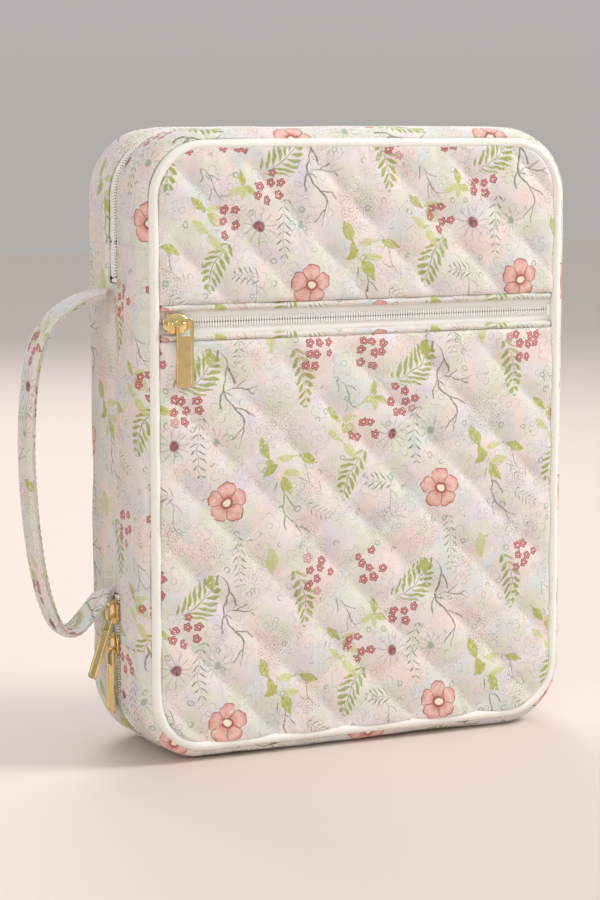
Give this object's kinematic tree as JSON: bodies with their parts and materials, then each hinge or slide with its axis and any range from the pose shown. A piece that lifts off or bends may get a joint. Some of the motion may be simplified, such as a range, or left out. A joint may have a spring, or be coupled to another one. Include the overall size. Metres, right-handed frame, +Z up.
{
  "type": "knitting bag",
  "caption": "Upright quilted fabric case that unzips round its edge and opens like a book, with a zipped front pocket, piped edges and a soft strap handle on its spine.",
  "frame": {"origin": "middle of the bounding box at the level of the underside", "axes": "+Z up, -Y towards the front face with the pocket, -X towards the spine and its strap"},
  "size_m": [0.2581, 0.0745, 0.28],
  "materials": {
    "quilted_floral": "printed cotton, pale with leaf sprigs and small flowers, quilted over wadding",
    "white_piping": "off-white cotton over cord",
    "lining_cotton": "plain pale cotton",
    "zip_tape": "white woven tape",
    "zip_coil": "white nylon coil",
    "elastic": "ribbed off-white elastic",
    "foam_board": "thin foam stiffener",
    "gold_metal": "polished pale gold"
  },
  "bodies": {
    "back_half": {"back_panel": "quilted_floral", "back_stiffener": "foam_board", "back_lining": "lining_cotton", "back_piping": "white_piping", "back_gusset": "quilted_floral", "back_wall_lining": "lining_cotton", "back_zip_tape": "zip_tape", "back_zip_coil": "zip_coil", "slip_pocket": "lining_cotton", "slip_pocket_binding": "white_piping"},
    "spine": {"spine_panel": "quilted_floral", "spine_lining": "lining_cotton", "zip_stop_lower": "zip_coil", "zip_stop_upper": "zip_coil", "main_slider_a": "gold_metal"},
    "front_half": {"front_panel_upper": "quilted_floral", "front_panel_lower": "quilted_floral", "front_piping": "white_piping", "front_gusset": "quilted_floral", "front_wall_lining": "lining_cotton", "front_zip_tape": "zip_tape", "front_zip_coil": "zip_coil", "pocket_welt_upper": "quilted_floral", "pocket_welt_lower": "quilted_floral", "pocket_tape_upper": "zip_tape", "pocket_tape_lower": "zip_tape", "pocket_coil_upper": "zip_coil", "pocket_coil_lower": "zip_coil", "pocket_stop": "zip_coil", "pocket_bag": "lining_cotton", "front_stiffener": "foam_board", "front_lining": "lining_cotton", "needle_band_lower": "elastic", "needle_band_middle": "elastic", "needle_band_upper": "elastic"},
    "handle": {"strap_handle": "quilted_floral"},
    "upper_pull": {"main_pull_a": "gold_metal"},
    "lower_slider": {"main_slider_b": "gold_metal"},
    "lower_pull": {"main_pull_b": "gold_metal"},
    "pocket_runner": {"pocket_slider": "gold_metal"},
    "pocket_tab": {"pocket_pull": "gold_metal"}
  },
  "joints": [
    {"name": "spine_fold", "type": "hinge", "parent": "back_half", "child": "spine", "pos_m": [-0.0795, 0.0353, 0.14], "axis": [0, 0, -1], "range_deg": [0, 90], "deforming": ["back_zip_tape", "back_zip_coil"]},
    {"name": "cover_open", "type": "hinge", "parent": "spine", "child": "front_half", "pos_m": [-0.0795, -0.0309, 0.14], "axis": [0, 0, -1], "range_deg": [0, 90], "deforming": ["front_zip_tape", "front_zip_coil"]},
    {"name": "strap_swing", "type": "hinge", "parent": "spine", "child": "handle", "pos_m": [-0.086, 0.0022, 0.141], "axis": [0, 0, 1], "range_deg": [-25, 25]},
    {"name": "lower_slider_travel", "type": "slide", "parent": "spine", "child": "lower_slider", "axis": [0, 0, -1], "range_m": [0, 0.013]},
    {"name": "lower_pull_lift", "type": "hinge", "parent": "lower_slider", "child": "lower_pull", "pos_m": [-0.0882, 0.0022, 0.04715], "axis": [0, 1, 0], "range_deg": [0, 45]},
    {"name": "upper_pull_lift", "type": "hinge", "parent": "spine", "child": "upper_pull", "pos_m": [-0.0882, 0.0022, 0.06215], "axis": [0, 1, 0], "range_deg": [0, 45]},
    {"name": "pocket_slider_travel", "type": "slide", "parent": "front_half", "child": "pocket_runner", "axis": [1, 0, 0], "range_m": [0, 0.1804]},
    {"name": "pocket_pull_swing", "type": "hinge", "parent": "pocket_runner", "child": "pocket_tab", "pos_m": [-0.06675, -0.035, 0.196], "axis": [0, 1, 0], "range_deg": [-50, 35]}
  ],
  "couplings": [
    {"joint": "upper_pull_lift", "follows": "lower_pull_lift", "ratio": 1}
  ]
}
